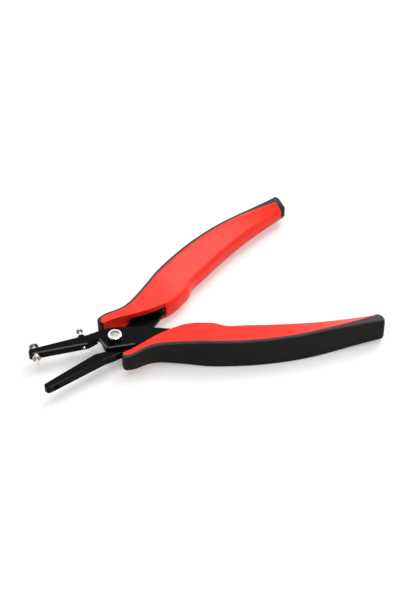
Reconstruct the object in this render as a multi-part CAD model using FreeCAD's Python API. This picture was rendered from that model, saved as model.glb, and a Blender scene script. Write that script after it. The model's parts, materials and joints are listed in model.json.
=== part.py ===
import FreeCAD
import Part
import math
import os

# Hole punch pliers with a riveted lap joint, lying flat on their grips.
# Each lever is modelled along +X from the pivot axis at the origin, its middle plane at z = 0.
# +Y is the side where the lever's grip bulges outward, and where its jaw faces the other jaw.
# The finished part has +X towards the handles and z = 0 on the surface that it lies on.
# All lengths are in millimetres, all angles in degrees.

# Whole tool
handle_length = 130.0
punch_jaw_length = 41.3
die_jaw_overhang = 1.7
die_jaw_length = punch_jaw_length + die_jaw_overhang
open_angle = 46.8
closing_angle = 25.4

# Levers
lever_thickness = 4.5
lap_gap = 0.1
edge_bevel = 0.45
boss_radius = 8.8
jaw_root = 13.0
jaw_root_inner = 1.3
jaw_root_width = 6.0
jaw_tip_width = 3.6
jaw_slope = 10.5
tip_radius = 1.4
throat_radius = 1.5
boss_corner_radius = 0.8
boss_round_radius = 6.0
tang_end_cover = 26.0
tang_length = handle_length - tang_end_cover
tang_round_radius = 14.0
tang_end_radius = 1.5
swing_gap = 0.55

# Rivet and its collar
rivet_radius = 2.25
rivet_clearance = 0.05
rivet_head_radius = 3.35
rivet_head_height = 2.2
rivet_bevel = 0.35
collar_height = 3.8
rivet_end_depth = 0.35
rivet_dome = 0.2
head_gap = 0.05

# Punch and die, along an axis square to the closed jaws
punch_set_back = 3.4
punch_place = punch_jaw_length - punch_set_back
punch_radius = 0.75
punch_reach = 5.4
punch_tip_bevel = 0.12
die_clearance = 0.4
guide_radius = 1.8
guide_reach = 1.9
guide_rim_radius = 2.05
guide_rim_height = 0.6
guide_thread_radius = 1.3
guide_bevel = 0.25
knob_radius = 2.25
knob_height = 1.2
knob_stand_off = 2.3
knob_slot_width = 0.6
knob_slot_depth = 0.6
knob_bevel = 0.25

# Stop screw
stop_place = 15.1
stop_radius = 0.8
stop_clearance = 0.03
stop_reach = 0.95
stop_tip_bevel = 0.25
stop_head_radius = 1.6
stop_head_height = 1.3
stop_head_rise = 6.2
stop_nut_radius = 2.05
stop_nut_height = 1.1
stop_nut_bevel = 0.15
stop_slot_width = 0.45
stop_slot_depth = 0.6
stop_head_bevel = 0.2

# Grips
nose_setback = 2.8
grip_width = 15.0
grip_thickness = 16.4
crease_radius = 0.7
boundary_radius = 2.0
shoulder_radius = 1.1
side_crown = 0.3
side_crown_radius = 30.0
inner_crown = 1.2
inner_crown_radius = 2.5
pad_step_lead = 0.42
plate_relief = 0.4
slot_depth = 3.0
nose_rim = 0.7
tail_cap = 5.4
parting_shift = 0.25
nose_round = 2.0
inner_nose_round = 2.0
nose_edge_round = 2.2
tail_lean = 0.7
tail_round = 2.6
inner_tail_round = 3.4
tail_edge_round = 2.8
prism_round = 1.0
prism_gap = 0.05
diagonal = 46.0
tail_outer = 5.9
tail_inner = 5.9
tail_widening = 1.1
tail_corner_round = 3.6
nose_outer = 13.4
nose_inner = 4.9
nose_widening = 4.2
nose_corner_round = 2.6
tang_fit = 0.03

# Count of sides on every nut
hexagon_sides = 6

# One overrun for all cuts
overrun = 5.0

# Grip sections from nose to tail. Each row holds the place as a share of the grip's length,
# then the red and black boundary, the outer side and the inner crease as shares of its width,
# then the height at the boundary and at the crease as shares of half its thickness.
grip_section_shares = [
    (0.000, 0.880, 1.000, 0.690, 0.520, 0.460),
    (0.022, 0.865, 0.985, 0.635, 0.580, 0.505),
    (0.050, 0.785, 0.915, 0.510, 0.630, 0.535),
    (0.085, 0.625, 0.755, 0.320, 0.680, 0.560),
    (0.125, 0.520, 0.650, 0.093, 0.735, 0.573),
    (0.171, 0.515, 0.645, -0.120, 0.800, 0.590),
    (0.225, 0.555, 0.685, -0.300, 0.880, 0.610),
    (0.280, 0.620, 0.750, -0.366, 0.955, 0.615),
    (0.327, 0.670, 0.800, -0.345, 1.015, 0.600),
    (0.359, 0.697, 0.827, -0.305, 1.018, 0.585),
    (0.382, 0.710, 0.840, -0.218, 1.018, 0.570),
    (0.453, 0.735, 0.865, -0.147, 1.018, 0.563),
    (0.532, 0.725, 0.855, -0.113, 1.018, 0.568),
    (0.611, 0.668, 0.798, -0.088, 1.018, 0.573),
    (0.690, 0.567, 0.697, -0.090, 1.018, 0.555),
    (0.765, 0.420, 0.555, -0.120, 1.000, 0.530),
    (0.828, 0.265, 0.430, -0.170, 0.945, 0.505),
    (0.883, 0.115, 0.320, -0.220, 0.893, 0.490),
    (0.938, -0.060, 0.215, -0.273, 0.845, 0.485),
    (1.000, -0.170, 0.120, -0.335, 0.790, 0.480),
]

# Joint outline as shares of the boss radius: the inner edge, then the outer edge
boss_inner_shares = [
    (-0.886, -0.784),
    (-0.364, -0.955),
    (0.284, -1.000),
    (1.136, -0.932),
    (2.100, -0.807),
    (2.784, -0.682),
    (3.410, -0.580),
]
boss_outer_shares = [
    (2.270, 0.409),
    (1.057, 0.409),
    (-0.470, 0.602),
    (-0.925, -0.216),
]

# Tang outline inside the grip, as shares of the tang's length and of the grip's width
tang_inner_shares = [(0.365, -0.173), (0.577, 0.093), (0.769, 0.100), (1.000, -0.080)]
tang_outer_shares = [(1.000, 0.187), (0.769, 0.453), (0.577, 0.493), (0.433, 0.440), (0.308, 0.300)]

# Largest share of a side that one round of the lever's outline may take
lever_round_share = 0.49

# Counts of grip sections ahead of the slot, the pad's step and the pad
ahead_of_slot_count = 2
ahead_of_step_count = 6
ahead_of_pad_count = 8

half_lever = lever_thickness / 2
half_grip = grip_thickness / 2
half_open = open_angle / 2
half_closed = (open_angle - closing_angle) / 2
grip_length = handle_length - nose_setback
pad_start = nose_setback + grip_section_shares[ahead_of_step_count][0] * grip_length - pad_step_lead
z_axis = FreeCAD.Vector(0, 0, 1)
x_axis = FreeCAD.Vector(1, 0, 0)
origin = FreeCAD.Vector(0, 0, 0)


def in_plan(u, v):
    return FreeCAD.Vector(u, v, 0)


def rounded_wire(corners, place, side_share=1):
    """Closed wire through corners (u, v, radius), with a tangent arc at every corner.

    An arc takes at most the given share of the shorter side next to it.
    """
    starts = []
    middles = []
    ends = []
    for i, (u, v, radius) in enumerate(corners):
        corner = FreeCAD.Vector(u, v, 0)
        before = FreeCAD.Vector(corners[i - 1][0], corners[i - 1][1], 0) - corner
        following = corners[(i + 1) % len(corners)]
        after = FreeCAD.Vector(following[0], following[1], 0) - corner
        shorter_side = min(before.Length, after.Length)
        before.normalize()
        after.normalize()
        half_angle = before.getAngle(after) / 2
        wanted_reach = radius / math.tan(half_angle)
        reach = min(wanted_reach, side_share * shorter_side)
        radius = radius * reach / wanted_reach
        inward = before + after
        inward.normalize()
        starts.append(corner + before * reach)
        middles.append(corner + inward * (radius / math.sin(half_angle) - radius))
        ends.append(corner + after * reach)
    edges = []
    for i in range(len(corners)):
        line_from = place(ends[i - 1].x, ends[i - 1].y)
        line_to = place(starts[i].x, starts[i].y)
        arc_middle = place(middles[i].x, middles[i].y)
        arc_to = place(ends[i].x, ends[i].y)
        edges.append(Part.LineSegment(line_from, line_to).toShape())
        edges.append(Part.Arc(line_to, arc_middle, arc_to).toShape())
    return Part.Wire(edges)


def slab(wire, bottom, top):
    """Plan outline raised from one height to another."""
    face = Part.Face(wire)
    face.translate(FreeCAD.Vector(0, 0, bottom))
    return face.extrude(FreeCAD.Vector(0, 0, top - bottom))


def inner_jaw_edge(distance):
    """Y of the jaw's inner edge at a distance from the pivot."""
    return jaw_root_inner + math.tan(math.radians(jaw_slope)) * (distance - jaw_root)


def lever_outline(jaw_length):
    """Plan outline of a lever, from the jaw's tip round the boss to the tang and back."""
    tip_inner = inner_jaw_edge(jaw_length)
    corners = [(-jaw_length, tip_inner, tip_radius)]
    corners.append((-jaw_length, tip_inner - jaw_tip_width, tip_radius))
    corners.append((-jaw_root, jaw_root_inner - jaw_root_width, boss_round_radius))
    for x_share, y_share in boss_inner_shares:
        corners.append((x_share * boss_radius, y_share * boss_radius, boss_round_radius))
    for x_share, y_share in tang_inner_shares[:-1]:
        corners.append((x_share * tang_length, y_share * grip_width, tang_round_radius))
    last_x, last_y = tang_inner_shares[-1]
    corners.append((last_x * tang_length, last_y * grip_width, tang_end_radius))
    last_x, last_y = tang_outer_shares[0]
    corners.append((last_x * tang_length, last_y * grip_width, tang_end_radius))
    for x_share, y_share in tang_outer_shares[1:]:
        corners.append((x_share * tang_length, y_share * grip_width, tang_round_radius))
    for x_share, y_share in boss_outer_shares[:2]:
        corners.append((x_share * boss_radius, y_share * boss_radius, boss_round_radius))
    for x_share, y_share in boss_outer_shares[2:]:
        corners.append((x_share * boss_radius, y_share * boss_radius, boss_corner_radius))
    corners.append((-jaw_root, jaw_root_inner, throat_radius))
    return rounded_wire(corners, in_plan, lever_round_share)


def flat_edges(shape, heights):
    """Edges of a flat plate's two faces."""
    found = []
    for edge in shape.Edges:
        box = edge.BoundBox
        for height in heights:
            if abs(box.ZMin - height) < edge_bevel / 2 and abs(box.ZMax - height) < edge_bevel / 2:
                found.append(edge)
    return found


def lap_recess():
    """Space that the other lever's half plate sweeps, above the middle plane."""
    corner_x, corner_y = boss_outer_shares[-1]
    lap_radius = math.hypot(corner_x, corner_y) * boss_radius + swing_gap
    disc = Part.makeCylinder(lap_radius, lever_thickness, origin, z_axis)
    swept = []
    for x_share, y_share in boss_inner_shares[2:]:
        reach = math.hypot(x_share, y_share) * boss_radius
        turn = -math.atan2(y_share, x_share) - math.radians(2 * half_closed)
        swept.append(in_plan(reach * math.cos(turn), reach * math.sin(turn)))
    along = swept[-1] - swept[0]
    along.normalize()
    across = in_plan(-along.y, along.x)
    bulge = max((point - swept[0]).dot(across) for point in swept)
    shift = across * (bulge + swing_gap)
    line_start = swept[0] + shift - along * boss_radius
    line_end = swept[-1] + shift + along * boss_radius
    low = -overrun - boss_radius
    corners = [origin, in_plan(0, line_start.y), line_start, line_end]
    corners += [in_plan(line_end.x, low), in_plan(0, low), origin]
    recess = disc.fuse(slab(Part.makePolygon(corners), 0, lever_thickness))
    recess.translate(FreeCAD.Vector(0, 0, -lap_gap / 2))
    return recess


def lever_blank(jaw_length):
    """Lever with bevelled edges and its upper half cut away at the joint."""
    blank = slab(lever_outline(jaw_length), -half_lever, half_lever)
    blank = blank.makeChamfer(edge_bevel, flat_edges(blank, (-half_lever, half_lever)))
    return blank.cut(lap_recess())


def punch_direction():
    """Direction from a jaw towards the other one, square to both when they are closed."""
    tilt = math.radians(half_closed)
    return FreeCAD.Vector(math.sin(tilt), math.cos(tilt), 0)


def jaw_axis_point(distance):
    """Point on the jaw's inner edge where a screw or punch comes out."""
    return FreeCAD.Vector(-distance, inner_jaw_edge(distance), 0)


def along_axis(distance, radius, start, end):
    """Round bar on a jaw's cross axis, between two places measured from the inner edge."""
    direction = punch_direction()
    base = jaw_axis_point(distance) + direction * start
    return Part.makeCylinder(radius, end - start, base, direction)


def cross_hole(distance, radius):
    """Hole right through the jaw along its cross axis."""
    return along_axis(distance, radius, -jaw_root_width - overrun, overrun)


def jaw_width(distance):
    """Width of the jaw at a distance from the pivot, between its tip and its root."""
    share = (distance - jaw_root) / (punch_jaw_length - jaw_root)
    return jaw_root_width + (jaw_tip_width - jaw_root_width) * share


def screw_slot(distance, radius, top, width, depth):
    """Screwdriver slot across a head whose outer face is at top."""
    direction = punch_direction()
    slot = Part.makeBox(2 * radius + overrun, width, depth + overrun)
    slot.translate(FreeCAD.Vector(-radius - overrun / 2, -width / 2, -overrun))
    turn = FreeCAD.Rotation(z_axis, direction)
    place = FreeCAD.Placement(jaw_axis_point(distance) + direction * top, turn)
    slot.Placement = place.multiply(slot.Placement)
    return slot


def round_edges(shape, direction, place, within):
    """Circular edges of a turned piece whose plane lies at a place along its axis."""
    found = []
    for edge in shape.Edges:
        if len(edge.Vertexes) == 1 and abs(edge.CenterOfMass.dot(direction) - place) < within:
            found.append(edge)
    return found


def axis_place(distance, place):
    """Place along the cross axis, measured from the pivot's middle plane."""
    return (jaw_axis_point(distance) + punch_direction() * place).dot(punch_direction())


def pivot_hole(radius):
    """Hole right through a lever on the pivot axis."""
    return Part.makeCylinder(radius, 2 * lever_thickness, -z_axis * lever_thickness, z_axis)


def punch_lever():
    """Lever with the punch: it keeps its lower half here and is turned over when placed."""
    lever = lever_blank(punch_jaw_length)
    lever = lever.cut(pivot_hole(rivet_radius))
    lever = lever.cut(cross_hole(punch_place, guide_thread_radius))
    return lever.cut(cross_hole(stop_place, stop_radius + stop_clearance))


def die_lever():
    """Lever with the die hole near its tip."""
    lever = lever_blank(die_jaw_length)
    lever = lever.cut(pivot_hole(rivet_radius + rivet_clearance))
    return lever.cut(cross_hole(punch_place, punch_radius + die_clearance))


def pivot_rivet():
    """Rivet with its head under the lower plate and its domed end in the collar."""
    head_bottom = -half_lever - head_gap - rivet_head_height
    head = Part.makeCylinder(rivet_head_radius, rivet_head_height, z_axis * head_bottom, z_axis)
    head = head.makeChamfer(rivet_bevel, round_edges(head, z_axis, head_bottom, rivet_bevel))
    end_height = half_lever + collar_height - rivet_end_depth
    shank = Part.makeCylinder(rivet_radius, end_height - head_bottom, z_axis * head_bottom, z_axis)
    dome_radius = (rivet_radius ** 2 + rivet_dome ** 2) / (2 * rivet_dome)
    dome = Part.makeSphere(dome_radius, z_axis * (end_height - dome_radius))
    return head.fuse(shank.common(dome)).removeSplitter()


def pivot_collar():
    """Bright ring pressed on the rivet, on top of the upper plate."""
    top = half_lever + collar_height
    ring = Part.makeCylinder(rivet_head_radius, collar_height, z_axis * half_lever, z_axis)
    ring = ring.makeChamfer(rivet_bevel, round_edges(ring, z_axis, top, rivet_bevel))
    return ring.cut(Part.makeCylinder(rivet_radius, 2 * collar_height, z_axis * half_lever, z_axis))


def punch_guide():
    """Threaded bush through the jaw with a collar that guides the punch."""
    outer_end = -jaw_width(punch_place) - knob_stand_off - knob_height
    bush = along_axis(punch_place, guide_thread_radius, outer_end, guide_reach)
    collar = along_axis(punch_place, guide_radius, 0, guide_reach)
    seat = slab(lever_outline(punch_jaw_length), -lever_thickness, lever_thickness)
    collar = collar.cut(seat)
    rim = along_axis(punch_place, guide_rim_radius, guide_reach - guide_rim_height, guide_reach)
    rim_end = axis_place(punch_place, guide_reach)
    rim = rim.makeChamfer(guide_bevel, round_edges(rim, punch_direction(), rim_end, guide_bevel))
    body = bush.fuse([collar, rim]).removeSplitter()
    bore = along_axis(punch_place, punch_radius, outer_end + knob_height / 2, guide_reach + overrun)
    return body.cut(bore)


def punch_knob():
    """Slotted round nut that clamps the guide on the outer side of the jaw."""
    top = -jaw_width(punch_place) - knob_stand_off - knob_height
    knob = along_axis(punch_place, knob_radius, top, top + knob_height)
    thread = along_axis(punch_place, guide_thread_radius, top - overrun, top + knob_height + overrun)
    knob = knob.cut(thread)
    outer = axis_place(punch_place, top)
    knob = knob.makeChamfer(knob_bevel, round_edges(knob, punch_direction(), outer, knob_bevel))
    return knob.cut(screw_slot(punch_place, knob_radius, top, knob_slot_width, knob_slot_depth))


def punch_pin():
    """Hardened punch, which backs on the closed end of the guide."""
    start = -jaw_width(punch_place) - knob_stand_off - knob_height / 2
    pin = along_axis(punch_place, punch_radius, start, punch_reach)
    tip = axis_place(punch_place, punch_reach)
    return pin.makeChamfer(punch_tip_bevel, round_edges(pin, punch_direction(), tip, punch_tip_bevel))


def stop_screw():
    """Slotted screw that limits how far the jaws close."""
    head_top = -jaw_width(stop_place) - stop_head_rise
    shank = along_axis(stop_place, stop_radius, head_top + stop_head_height / 2, stop_reach)
    tip = axis_place(stop_place, stop_reach)
    shank = shank.makeChamfer(stop_tip_bevel, round_edges(shank, punch_direction(), tip, stop_tip_bevel))
    head = along_axis(stop_place, stop_head_radius, head_top, head_top + stop_head_height)
    outer = axis_place(stop_place, head_top)
    head = head.makeChamfer(stop_head_bevel, round_edges(head, punch_direction(), outer, stop_head_bevel))
    screw = head.fuse(shank).removeSplitter()
    return screw.cut(screw_slot(stop_place, stop_head_radius, head_top, stop_slot_width, stop_slot_depth))


def stop_nut():
    """Hexagon lock nut on the stop screw, bearing on the outer edge of the jaw."""
    direction = punch_direction()
    base = -jaw_width(stop_place) - stop_nut_height
    corners = []
    for i in range(hexagon_sides + 1):
        angle = 2 * math.pi * i / hexagon_sides
        corners.append(in_plan(stop_nut_radius * math.cos(angle), stop_nut_radius * math.sin(angle)))
    nut = Part.Face(Part.makePolygon(corners)).extrude(z_axis * (2 * stop_nut_height))
    across = stop_nut_radius * math.cos(math.pi / hexagon_sides)
    wide = across + stop_nut_bevel
    turned = Part.makeCone(wide, wide + 2 * stop_nut_height, 2 * stop_nut_height)
    nut = nut.common(turned)
    turn = FreeCAD.Rotation(z_axis, direction)
    nut.Placement = FreeCAD.Placement(jaw_axis_point(stop_place) + direction * base, turn)
    nut = nut.cut(slab(lever_outline(punch_jaw_length), -lever_thickness, lever_thickness))
    return nut.cut(cross_hole(stop_place, stop_radius + stop_clearance))


def grip_section(row):
    """Closed section of the grip across its length."""
    place, boundary, side, crease, top_share, edge_share = row
    x = row_x(row)
    boundary_y = boundary * grip_width
    side_y = side * grip_width
    crease_y = crease * grip_width
    top = top_share * half_grip
    edge = edge_share * half_grip
    corners = [
        (crease_y, edge, crease_radius),
        (boundary_y, top, boundary_radius),
        (side_y, top, shoulder_radius),
        (side_y + side_crown, 0, side_crown_radius),
        (side_y, -top, shoulder_radius),
        (boundary_y, -top, boundary_radius),
        (crease_y, -edge, crease_radius),
        (crease_y - inner_crown, -edge / 2, inner_crown_radius),
        (crease_y - inner_crown, edge / 2, inner_crown_radius),
    ]
    return rounded_wire(corners, lambda u, v: FreeCAD.Vector(x, u, v))


def share_curve(column, shift, first, last):
    """Plan points along one column of the section table, moved sideways by a shift."""
    points = []
    for row in grip_section_shares[first:last]:
        points.append(in_plan(row_x(row), row[column] * grip_width + shift))
    return points


def row_x(row):
    """Place of a section along the lever."""
    return nose_setback + row[0] * grip_length


def end_rounding_in_plan():
    """Prism that rounds the corners of both grip ends seen from above."""
    nose, behind_nose = grip_section_shares[:2]
    before_tail, tail = grip_section_shares[-2:]
    outward = side_crown + prism_gap
    inward = inner_crown + prism_gap
    corners = [
        (row_x(nose), nose[3] * grip_width + plate_relief - prism_gap, inner_nose_round),
        (row_x(behind_nose), behind_nose[3] * grip_width + plate_relief - prism_gap, prism_round),
        (pad_start, -grip_width, prism_round),
        (row_x(before_tail), before_tail[3] * grip_width - inward, prism_round),
        (handle_length - tail_lean, tail[3] * grip_width - inward, inner_tail_round),
        (handle_length, tail[2] * grip_width + outward, tail_round),
        (row_x(before_tail), before_tail[2] * grip_width + outward, prism_round),
        (handle_length / 2, 2 * grip_width, prism_round),
        (row_x(behind_nose), behind_nose[2] * grip_width + outward, prism_round),
        (row_x(nose), nose[2] * grip_width + outward, nose_round),
    ]
    return slab(rounded_wire(corners, in_plan), -grip_thickness, grip_thickness)


def end_rounding_from_the_side():
    """Prism that rounds the upper and lower edges of both grip ends."""
    nose, behind_nose = grip_section_shares[:2]
    before_tail, tail = grip_section_shares[-2:]
    upper = [
        (handle_length, tail[4] * half_grip + prism_gap, tail_edge_round),
        (row_x(before_tail), before_tail[4] * half_grip + prism_gap, prism_round),
        (handle_length / 2, grip_thickness, prism_round),
        (row_x(behind_nose), behind_nose[4] * half_grip + prism_gap, prism_round),
        (row_x(nose), nose[4] * half_grip + prism_gap, nose_edge_round),
    ]
    lower = [(x, -height, radius) for x, height, radius in reversed(upper)]
    outline = rounded_wire(upper + lower, lambda u, v: FreeCAD.Vector(u, -2 * grip_width, v))
    return Part.Face(outline).extrude(FreeCAD.Vector(0, 4 * grip_width, 0))


def end_rounding_across(turn):
    """Prism that rounds both grip ends along one diagonal of the section."""
    nose, behind_nose, inner_bend = grip_section_shares[:3]
    before_tail = grip_section_shares[-2]
    corners = [
        (handle_length - tail_lean, -tail_inner, tail_corner_round),
        (handle_length, tail_outer, tail_corner_round),
        (row_x(before_tail), tail_outer + tail_widening, prism_round),
        (handle_length / 2, 2 * grip_width, prism_round),
        (row_x(behind_nose), nose_outer, prism_round),
        (row_x(nose), nose_outer, nose_corner_round),
        (row_x(nose), nose_inner, nose_corner_round),
        (row_x(inner_bend), nose_inner - nose_widening, prism_round),
        (pad_start, -2 * grip_width, prism_round),
        (row_x(before_tail), -tail_inner - tail_widening, prism_round),
    ]
    prism = slab(rounded_wire(corners, in_plan), -2 * grip_width, 2 * grip_width)
    prism.rotate(origin, x_axis, turn)
    return prism


def inner_side(shift, first, bottom, top):
    """Space on the inner side of the grip, up to the pad, behind a curve beside the inner crease."""
    points = share_curve(3, shift, first, ahead_of_pad_count + 1)
    curve = Part.BSplineCurve()
    curve.interpolate(points)
    start = curve.value(curve.FirstParameter)
    end_parameter = curve.parameter(in_plan(pad_start, points[-2].y))
    end = curve.value(end_parameter)
    outside = in_plan(start.x - overrun, start.y + overrun) if first == 0 else start
    low = in_plan(outside.x, -grip_width)
    far = in_plan(end.x, -grip_width)
    edges = [curve.toShape(curve.FirstParameter, end_parameter)]
    outline = [end, far, low, outside, start] if first == 0 else [end, far, low, start]
    for a, b in zip(outline, outline[1:]):
        edges.append(Part.LineSegment(a, b).toShape())
    return slab(Part.Wire(edges), bottom, top)


def whole_grip():
    """Grip in one piece: lofted, rounded at both ends, flattened where it lies, relieved at the joint."""
    sections = [grip_section(row) for row in grip_section_shares]
    grip = Part.makeLoft(sections, True, False)
    grip = grip.common(end_rounding_in_plan()).common(end_rounding_from_the_side())
    grip = grip.common(end_rounding_across(diagonal)).common(end_rounding_across(-diagonal))
    flat = Part.makeBox(2 * handle_length, 2 * handle_length, grip_thickness)
    flat.translate(FreeCAD.Vector(-handle_length / 2, -handle_length, -half_grip))
    grip = grip.common(flat)
    relief = inner_side(plate_relief, 0, -grip_thickness, grip_thickness)
    slot = inner_side(slot_depth, ahead_of_slot_count, -half_lever - tang_fit, half_lever + tang_fit)
    return grip.cut([relief, slot])


def core_region():
    """Region of the grip that is red, inside the black rim, side and cap."""
    points = share_curve(1, parting_shift, 1, len(grip_section_shares) - 1)
    curve = Part.BSplineCurve()
    curve.interpolate(points)
    start = curve.value(curve.FirstParameter)
    end = curve.value(curve.LastParameter)
    rim_x = nose_setback + nose_rim
    cap_x = handle_length - tail_cap
    corner = FreeCAD.Vector(rim_x, start.y - nose_rim, 0)
    low = FreeCAD.Vector(rim_x, -2 * grip_width, 0)
    far = FreeCAD.Vector(cap_x, -2 * grip_width, 0)
    cap_corner = FreeCAD.Vector(cap_x, end.y - nose_rim, 0)
    edges = [curve.toShape()]
    for a, b in ((end, cap_corner), (cap_corner, far), (far, low), (low, corner), (corner, start)):
        edges.append(Part.LineSegment(a, b).toShape())
    return slab(Part.Wire(edges), -grip_thickness, grip_thickness)


def grip_pieces():
    """Red core and black cover of one grip, with the tang's slot in the core."""
    grip = whole_grip()
    region = core_region()
    core = grip.common(region)
    cover = grip.cut(region)
    slot = slab(lever_outline(die_jaw_length), -half_lever - tang_fit, half_lever + tang_fit)
    return core.cut(slot), cover


def on_die_side(shape):
    """Place a piece of the lever whose handle points to +Y."""
    placed = shape.copy()
    placed.rotate(origin, z_axis, half_open)
    return placed


def on_punch_side(shape):
    """Turn a piece over and place it on the lever whose handle points to -Y."""
    placed = shape.copy()
    placed.rotate(origin, x_axis, 180)
    placed.rotate(origin, z_axis, -half_open)
    return placed


def build():
    core, cover = grip_pieces()
    pieces = {
        "punch_lever": on_punch_side(punch_lever()),
        "die_lever": on_die_side(die_lever()),
        "punch_grip_core": on_punch_side(core),
        "punch_grip_cover": on_punch_side(cover),
        "die_grip_core": on_die_side(core),
        "die_grip_cover": on_die_side(cover),
        "pivot_rivet": pivot_rivet(),
        "pivot_collar": pivot_collar(),
        "punch_guide": on_punch_side(punch_guide()),
        "punch_knob": on_punch_side(punch_knob()),
        "punch_pin": on_punch_side(punch_pin()),
        "stop_screw": on_punch_side(stop_screw()),
        "stop_lock_nut": on_punch_side(stop_nut()),
    }
    low = min(shape.optimalBoundingBox().XMin for shape in pieces.values())
    high = max(shape.optimalBoundingBox().XMax for shape in pieces.values())
    shift = FreeCAD.Vector(-(low + high) / 2, 0, half_grip)
    os.makedirs("parts", exist_ok=True)
    for name, shape in pieces.items():
        shape.translate(shift)
        if shape.ShapeType == "Compound" and len(shape.Solids) == 1:
            shape = shape.Solids[0]
        shape.exportStep("parts/" + name + ".step")
        print(name, len(shape.Solids), shape.isValid(), round(shape.Volume, 2))
    print("pivot axis at x", round(shift.x, 4), "middle plane at z", round(shift.z, 4))


build()
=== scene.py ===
import json
import math

import bpy
from mathutils import Matrix, Vector

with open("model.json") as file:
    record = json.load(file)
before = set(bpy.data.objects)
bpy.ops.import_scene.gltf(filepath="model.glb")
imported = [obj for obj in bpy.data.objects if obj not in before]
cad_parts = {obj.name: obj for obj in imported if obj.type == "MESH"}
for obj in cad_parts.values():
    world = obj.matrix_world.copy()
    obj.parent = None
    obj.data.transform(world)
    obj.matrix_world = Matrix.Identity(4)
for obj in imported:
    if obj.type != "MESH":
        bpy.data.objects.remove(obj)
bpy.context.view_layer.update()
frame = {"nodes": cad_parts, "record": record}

# Hole punch pliers. The shapes are the frame's own solids; this script gives them their
# materials and sets up the studio. Lengths and places are in metres, angles in radians,
# lamp powers in watts, and colours are linear.

nodes = frame["nodes"]
hinge = [j for j in frame["record"]["behaviour"]["joints"] if j["type"] == "hinge"][0]
PIVOT = Vector(hinge["pos_m"])
Z_AXIS = Vector((0, 0, 1))

# Parts of a noise's range over which colour and roughness change
COLOUR_SPAN = (0.30, 0.70)
GLOSS_SPAN = (0.30, 0.75)

# Noises: scale, detail and roughness. Grain has a scale of its own in each material.
PLASTIC_DRIFT = (60, 3, 0.5)
PLASTIC_GLOSS = (350, 4, 0.5)
PLASTIC_WAVES = (140, 2, 0.5)
METAL_BLOTCHES = (220, 5, 0.6)
METAL_GLOSS = (700, 5, 0.65)
GRAIN_DETAIL, GRAIN_ROUGHNESS = 3, 0.6
METAL_GRAIN_SCALE = 2500

# Depths of the bumps
PLASTIC_WAVE_DEPTH, PLASTIC_WAVE_STRENGTH = 0.00004, 0.6
PLASTIC_GRAIN_DEPTH = 0.00001
METAL_GRAIN_DEPTH = 0.000001

# Upward part of the surface normal over which side walls turn into top faces; the plastic's
# painted top highlight and the metals' painted wall shade fade in over it
PLASTIC_PAINTED_TOP_SPAN = (0.25, 0.85)
METAL_PAINTED_WALL_SPAN = (0.15, 0.80)

# How much lighter the light blotches of a painted top highlight or of a painted wall shade are
PAINTED_TOP_LIGHTER, PAINTED_WALL_LIGHTER = 1.2, 1.3

# The plated ring's colours and metallic share, by the upward part of its normal: painted shade
# darkens its side wall and a painted highlight whitens its top
RING_PAINTED_LIGHT_COLOURS = ((0.30, (0.20, 0.19, 0.19)), (0.60, (0.60, 0.60, 0.60)), (0.95, (0.92, 0.92, 0.92)))
RING_METALLIC_SPAN, RING_METALLIC = (0.50, 0.95), (1.0, 0.25)
RING_GLOSS = (0.14, 0.24)

# Floor and world. The floor's glow and the world's white reach only the rays named here;
# the sky's stops are brightness by height.
BACKGROUND_RAYS = ("Is Camera Ray", "Is Glossy Ray", "Is Transmission Ray")
FLOOR_SIZE = 6
FLOOR_COLOUR = (0.72, 0.71, 0.70)
FLOOR_GLOW = 0.32
SKY_STOPS = ((0.0, 0.04), (0.35, 0.08), (0.80, 0.18), (1.0, 0.30))

# Camera, fitted to the two equal handles: 44 degrees above the table
CAMERA_TARGET = PIVOT + Vector((0.05247, 0.01303, -0.00668))
CAMERA_DISTANCE = 0.71295
CAMERA_SWING, CAMERA_LIFT, CAMERA_ROLL = 0.46502, 0.76225, -0.01832
FOCAL_PIXELS, PICTURE_PIXELS = 1426, 601
SENSOR_MM = 36

# Lamps: place across the picture, away from the camera and up, then size and power.
# The last four stand where the steel's bevels mirror them to the camera.
LAMPS = {
    "key": ((-0.08, 0.10, 1.00), (1.4, 1.1), 8.0),
    "lid": ((0.40, 0.50, 0.75), (0.50, 0.34), 3.6),
    "front": ((0.15, -0.65, 0.64), (0.12, 0.12), 1.3),
    "right": ((0.50, -0.47, 0.58), (0.12, 0.12), 0.6),
    "low_right": ((0.80, 0.18, 0.35), (0.12, 0.12), 1.2),
    "low_left": ((-0.89, 0.10, 0.29), (0.12, 0.12), 1.2),
}


# Shader building blocks
def grey(v):
    return (v, v, v)


def scaled(colour, factor):
    return tuple(factor * v for v in colour)


def cleared(owner):
    """Empty node tree of a material or world."""
    owner.use_nodes = True
    owner.node_tree.nodes.clear()
    return owner.node_tree


def surface_material(name):
    """Material with one principled shader."""
    mat = bpy.data.materials.new(name)
    tree = cleared(mat)
    out = tree.nodes.new("ShaderNodeOutputMaterial")
    shader = tree.nodes.new("ShaderNodeBsdfPrincipled")
    tree.links.new(shader.outputs["BSDF"], out.inputs["Surface"])
    return mat, tree, shader


def object_place(tree):
    return tree.nodes.new("ShaderNodeTexCoord").outputs["Object"]


def noise(tree, place, kind):
    """Noise of a kind given as scale, detail and roughness."""
    scale, detail, rough = kind
    node = tree.nodes.new("ShaderNodeTexNoise")
    node.inputs["Scale"].default_value = scale
    node.inputs["Detail"].default_value = detail
    node.inputs["Roughness"].default_value = rough
    tree.links.new(place, node.inputs["Vector"])
    return node.outputs["Fac"]


def ramp(tree, value, stops):
    """Colours at given places along a value."""
    node = tree.nodes.new("ShaderNodeValToRGB")
    band = node.color_ramp
    while len(band.elements) < len(stops):
        band.elements.new(0.5)
    for element, (place, colour) in zip(band.elements, stops):
        element.position = place
        element.color = (*colour, 1)
    tree.links.new(value, node.inputs["Fac"])
    return node.outputs["Color"]


def between(tree, value, span, low, high):
    """One colour up to the span's start, another from its end on."""
    return ramp(tree, value, [(span[0], low), (span[1], high)])


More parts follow.
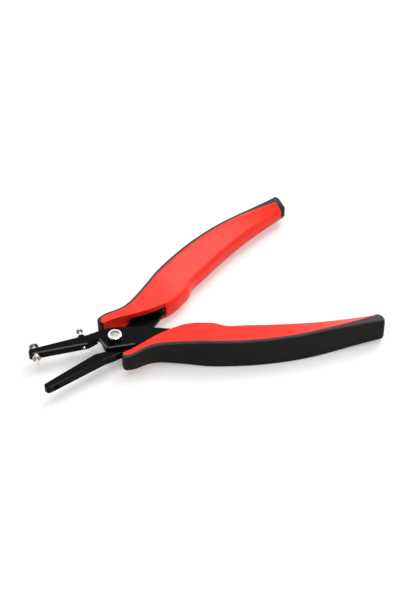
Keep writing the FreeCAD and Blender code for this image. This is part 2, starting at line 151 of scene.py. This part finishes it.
def bump(tree, height, distance, strength=1.0, chain=None):
    node = tree.nodes.new("ShaderNodeBump")
    node.inputs["Strength"].default_value = strength
    node.inputs["Distance"].default_value = distance
    tree.links.new(height, node.inputs["Height"])
    if chain is not None:
        tree.links.new(chain, node.inputs["Normal"])
    return node.outputs["Normal"]


def upward(tree):
    """How far the surface faces up."""
    surface = tree.nodes.new("ShaderNodeNewGeometry")
    parts = tree.nodes.new("ShaderNodeSeparateXYZ")
    tree.links.new(surface.outputs["Normal"], parts.inputs[0])
    return parts.outputs["Z"]


def blend(tree, amount, first, second):
    """Mix of two colours. Inputs 0, 6 and 7 and output 2 are the colour mode's sockets."""
    node = tree.nodes.new("ShaderNodeMix")
    node.data_type = "RGBA"
    tree.links.new(amount, node.inputs[0])
    tree.links.new(first, node.inputs[6])
    tree.links.new(second, node.inputs[7])
    return node.outputs[2]


def background_rays(tree):
    """1 for the kinds of ray that see the white background."""
    path = tree.nodes.new("ShaderNodeLightPath")
    socket = path.outputs[BACKGROUND_RAYS[0]]
    for kind in BACKGROUND_RAYS[1:]:
        node = tree.nodes.new("ShaderNodeMath")
        node.operation = "MAXIMUM"
        tree.links.new(socket, node.inputs[0])
        tree.links.new(path.outputs[kind], node.inputs[1])
        socket = node.outputs[0]
    return socket


def uneven_gloss(tree, shader, value, gloss):
    """Roughness between the two values of gloss, led by a noise."""
    rough = between(tree, value, GLOSS_SPAN, grey(gloss[0]), grey(gloss[1]))
    tree.links.new(rough, shader.inputs["Roughness"])


# Materials of the part
def moulded(name, dark, light, gloss, grain_scale, shine, top=None):
    """Moulded plastic: slight colour drift, fine grain, uneven gloss, and if asked a painted
    highlight that makes top faces paler.
    """
    mat, tree, shader = surface_material(name)
    place = object_place(tree)
    drift = noise(tree, place, PLASTIC_DRIFT)
    colour = between(tree, drift, COLOUR_SPAN, dark, light)
    # Painted highlight: faces turned up get a paler colour, as if they caught light from above.
    if top is not None:
        share = between(tree, upward(tree), PLASTIC_PAINTED_TOP_SPAN, grey(0), grey(1))
        painted_top_highlight = between(tree, drift, COLOUR_SPAN, top, scaled(top, PAINTED_TOP_LIGHTER))
        colour = blend(tree, share, colour, painted_top_highlight)
    tree.links.new(colour, shader.inputs["Base Color"])
    uneven_gloss(tree, shader, noise(tree, place, PLASTIC_GLOSS), gloss)
    waves = noise(tree, place, PLASTIC_WAVES)
    waves = bump(tree, waves, PLASTIC_WAVE_DEPTH, PLASTIC_WAVE_STRENGTH)
    grain = noise(tree, place, (grain_scale, GRAIN_DETAIL, GRAIN_ROUGHNESS))
    tree.links.new(bump(tree, grain, PLASTIC_GRAIN_DEPTH, chain=waves), shader.inputs["Normal"])
    shader.inputs["Specular IOR Level"].default_value = shine
    return mat


def worked(tree, shader, place, gloss, grain_depth=METAL_GRAIN_DEPTH,
           grain_scale=METAL_GRAIN_SCALE):
    """Uneven gloss and fine grain of worked metal."""
    uneven_gloss(tree, shader, noise(tree, place, METAL_GLOSS), gloss)
    grain = noise(tree, place, (grain_scale, GRAIN_DETAIL, GRAIN_ROUGHNESS))
    tree.links.new(bump(tree, grain, grain_depth), shader.inputs["Normal"])


def metal(name, dark, light, gloss, metallic=1.0, grain_depth=METAL_GRAIN_DEPTH,
          grain_scale=METAL_GRAIN_SCALE, shine=0.5, side=None):
    """Worked metal with faint blotches, and if asked painted shade that makes its side walls
    darker.
    """
    mat, tree, shader = surface_material(name)
    place = object_place(tree)
    blotches = noise(tree, place, METAL_BLOTCHES)
    colour = between(tree, blotches, COLOUR_SPAN, dark, light)
    # Painted shade: faces turned sideways get a darker colour, as if they mirrored dim
    # surroundings.
    if side is not None:
        share = between(tree, upward(tree), METAL_PAINTED_WALL_SPAN, grey(0), grey(1))
        painted_wall_shade = between(tree, blotches, COLOUR_SPAN, side, scaled(side, PAINTED_WALL_LIGHTER))
        colour = blend(tree, share, painted_wall_shade, colour)
    tree.links.new(colour, shader.inputs["Base Color"])
    shader.inputs["Metallic"].default_value = metallic
    shader.inputs["Specular IOR Level"].default_value = shine
    worked(tree, shader, place, gloss, grain_depth, grain_scale)
    return mat


def plated_with_painted_light(name):
    """Plated ring, satin: a painted highlight makes its flat top white, painted shade makes its
    rim darker, and the rim is more metallic.
    """
    mat, tree, shader = surface_material(name)
    level = upward(tree)
    # Painted light: a dark side wall and a white top, set by how far each face turns up.
    tree.links.new(ramp(tree, level, RING_PAINTED_LIGHT_COLOURS), shader.inputs["Base Color"])
    rim, top = RING_METALLIC
    metallic = between(tree, level, RING_METALLIC_SPAN, grey(rim), grey(top))
    tree.links.new(metallic, shader.inputs["Metallic"])
    worked(tree, shader, object_place(tree), RING_GLOSS)
    return mat


red_plastic = moulded(
    "red_plastic", (0.93, 0.026, 0.011), (1.0, 0.034, 0.015),
    gloss=(0.32, 0.42), grain_scale=2600, shine=0.20)
# Black plastic with a painted highlight: its faces turned up are pale grey.
black_plastic = moulded(
    "black_plastic", (0.0050, 0.0050, 0.0044), (0.0078, 0.0078, 0.0068),
    gloss=(0.38, 0.50), grain_scale=3200, shine=0.10, top=(0.045, 0.046, 0.044))
black_steel = metal(
    "black_steel", (0.0014, 0.0014, 0.0020), (0.0028, 0.0028, 0.0036),
    gloss=(0.12, 0.20), metallic=0.0, shine=0.06)
# Chrome with painted shade darkening its side walls.
chrome = metal(
    "chrome", (0.70, 0.70, 0.70), (0.84, 0.84, 0.83),
    gloss=(0.16, 0.26), side=(0.16, 0.155, 0.15))
peened_steel = metal(
    "peened_steel", (0.29, 0.29, 0.27), (0.42, 0.42, 0.39),
    gloss=(0.34, 0.50), metallic=0.5, grain_depth=0.00004, grain_scale=2600)
# Turned steel with painted shade darkening its side walls.
turned_steel = metal(
    "turned_steel", (0.52, 0.49, 0.44), (0.66, 0.63, 0.57),
    gloss=(0.20, 0.30), side=(0.26, 0.24, 0.21))
ground_steel = metal(
    "ground_steel", (0.66, 0.63, 0.58), (0.80, 0.77, 0.72),
    gloss=(0.14, 0.26), grain_depth=0.000002)
# Plated ring with a painted white top and painted shade on its side.
plated_steel = plated_with_painted_light("plated_steel")

for node, mat in {
    "punch_lever": black_steel,
    "die_lever": black_steel,
    "stop_lock_nut": black_steel,
    "punch_grip_core": red_plastic,
    "die_grip_core": red_plastic,
    "punch_grip_cover": black_plastic,
    "die_grip_cover": black_plastic,
    "pivot_rivet": peened_steel,
    "pivot_collar": plated_steel,
    "punch_guide": turned_steel,
    "punch_knob": chrome,
    "punch_pin": ground_steel,
    "stop_screw": chrome,
}.items():
    mesh = nodes[node].data
    mesh.materials.clear()
    mesh.materials.append(mat)


# Floor: a matte surface plus a glow that only the background's rays see
bpy.ops.mesh.primitive_plane_add(size=FLOOR_SIZE, location=(0, 0, 0))
floor = bpy.context.object
floor.name = "floor"
mat = bpy.data.materials.new("floor")
tree = cleared(mat)
out = tree.nodes.new("ShaderNodeOutputMaterial")
matte = tree.nodes.new("ShaderNodeBsdfDiffuse")
matte.inputs["Color"].default_value = (*FLOOR_COLOUR, 1)
glow = tree.nodes.new("ShaderNodeEmission")
glow.inputs["Color"].default_value = (1, 1, 1, 1)
strength = tree.nodes.new("ShaderNodeMath")
strength.operation = "MULTIPLY"
strength.inputs[1].default_value = FLOOR_GLOW
tree.links.new(background_rays(tree), strength.inputs[0])
tree.links.new(strength.outputs[0], glow.inputs["Strength"])
both = tree.nodes.new("ShaderNodeAddShader")
tree.links.new(matte.outputs[0], both.inputs[0])
tree.links.new(glow.outputs[0], both.inputs[1])
tree.links.new(both.outputs[0], out.inputs["Surface"])
floor.data.materials.append(mat)

# World: white for the background's rays, a soft sky for the light on the part
world = bpy.data.worlds.new("studio")
bpy.context.scene.world = world
tree = cleared(world)
out = tree.nodes.new("ShaderNodeOutputWorld")
where = tree.nodes.new("ShaderNodeTexCoord")
parts = tree.nodes.new("ShaderNodeSeparateXYZ")
tree.links.new(where.outputs["Generated"], parts.inputs[0])
sky = tree.nodes.new("ShaderNodeBackground")
sky_colour = ramp(tree, parts.outputs["Z"], [(place, grey(v)) for place, v in SKY_STOPS])
tree.links.new(sky_colour, sky.inputs["Color"])
backdrop = tree.nodes.new("ShaderNodeBackground")
backdrop.inputs["Color"].default_value = (1, 1, 1, 1)
for background in (sky, backdrop):
    background.inputs["Strength"].default_value = 1.0
mix = tree.nodes.new("ShaderNodeMixShader")
tree.links.new(background_rays(tree), mix.inputs["Fac"])
tree.links.new(sky.outputs[0], mix.inputs[1])
tree.links.new(backdrop.outputs[0], mix.inputs[2])
tree.links.new(mix.outputs[0], out.inputs["Surface"])


# Directions in the picture
forward = Vector((
    math.cos(CAMERA_LIFT) * math.sin(CAMERA_SWING),
    math.cos(CAMERA_LIFT) * math.cos(CAMERA_SWING),
    -math.sin(CAMERA_LIFT),
))
flat_right = forward.cross(Z_AXIS).normalized()
flat_up = flat_right.cross(forward).normalized()
level_forward = Vector((forward.x, forward.y, 0)).normalized()


def in_view(across, away, height):
    """Place across the picture, away from the camera and up, from the camera's target."""
    return CAMERA_TARGET + flat_right * across + level_forward * away + Z_AXIS * height


def placed(right, up, back, place):
    """Matrix of a camera or lamp that looks along minus back."""
    matrix = Matrix((right, up, back)).transposed().to_4x4()
    matrix.translation = place
    return matrix


# Lamps
for name, (place, (wide, high), power) in LAMPS.items():
    data = bpy.data.lights.new(name, "AREA")
    data.shape = "RECTANGLE"
    data.size = wide
    data.size_y = high
    data.energy = power
    lamp = bpy.data.objects.new(name, data)
    bpy.context.scene.collection.objects.link(lamp)
    back = (in_view(*place) - CAMERA_TARGET).normalized()
    side = Z_AXIS.cross(back).normalized()
    lamp.matrix_world = placed(side, back.cross(side), back, in_view(*place))

# Camera
right = flat_right * math.cos(CAMERA_ROLL) + flat_up * math.sin(CAMERA_ROLL)
up = flat_up * math.cos(CAMERA_ROLL) - flat_right * math.sin(CAMERA_ROLL)
data = bpy.data.cameras.new("camera")
data.sensor_fit = "AUTO"
data.sensor_width = SENSOR_MM
data.lens = FOCAL_PIXELS / PICTURE_PIXELS * SENSOR_MM
camera = bpy.data.objects.new("camera", data)
bpy.context.scene.collection.objects.link(camera)
camera.matrix_world = placed(right, up, -forward, CAMERA_TARGET - forward * CAMERA_DISTANCE)
bpy.context.scene.camera = camera
bpy.context.scene.view_settings.view_transform = "Standard"
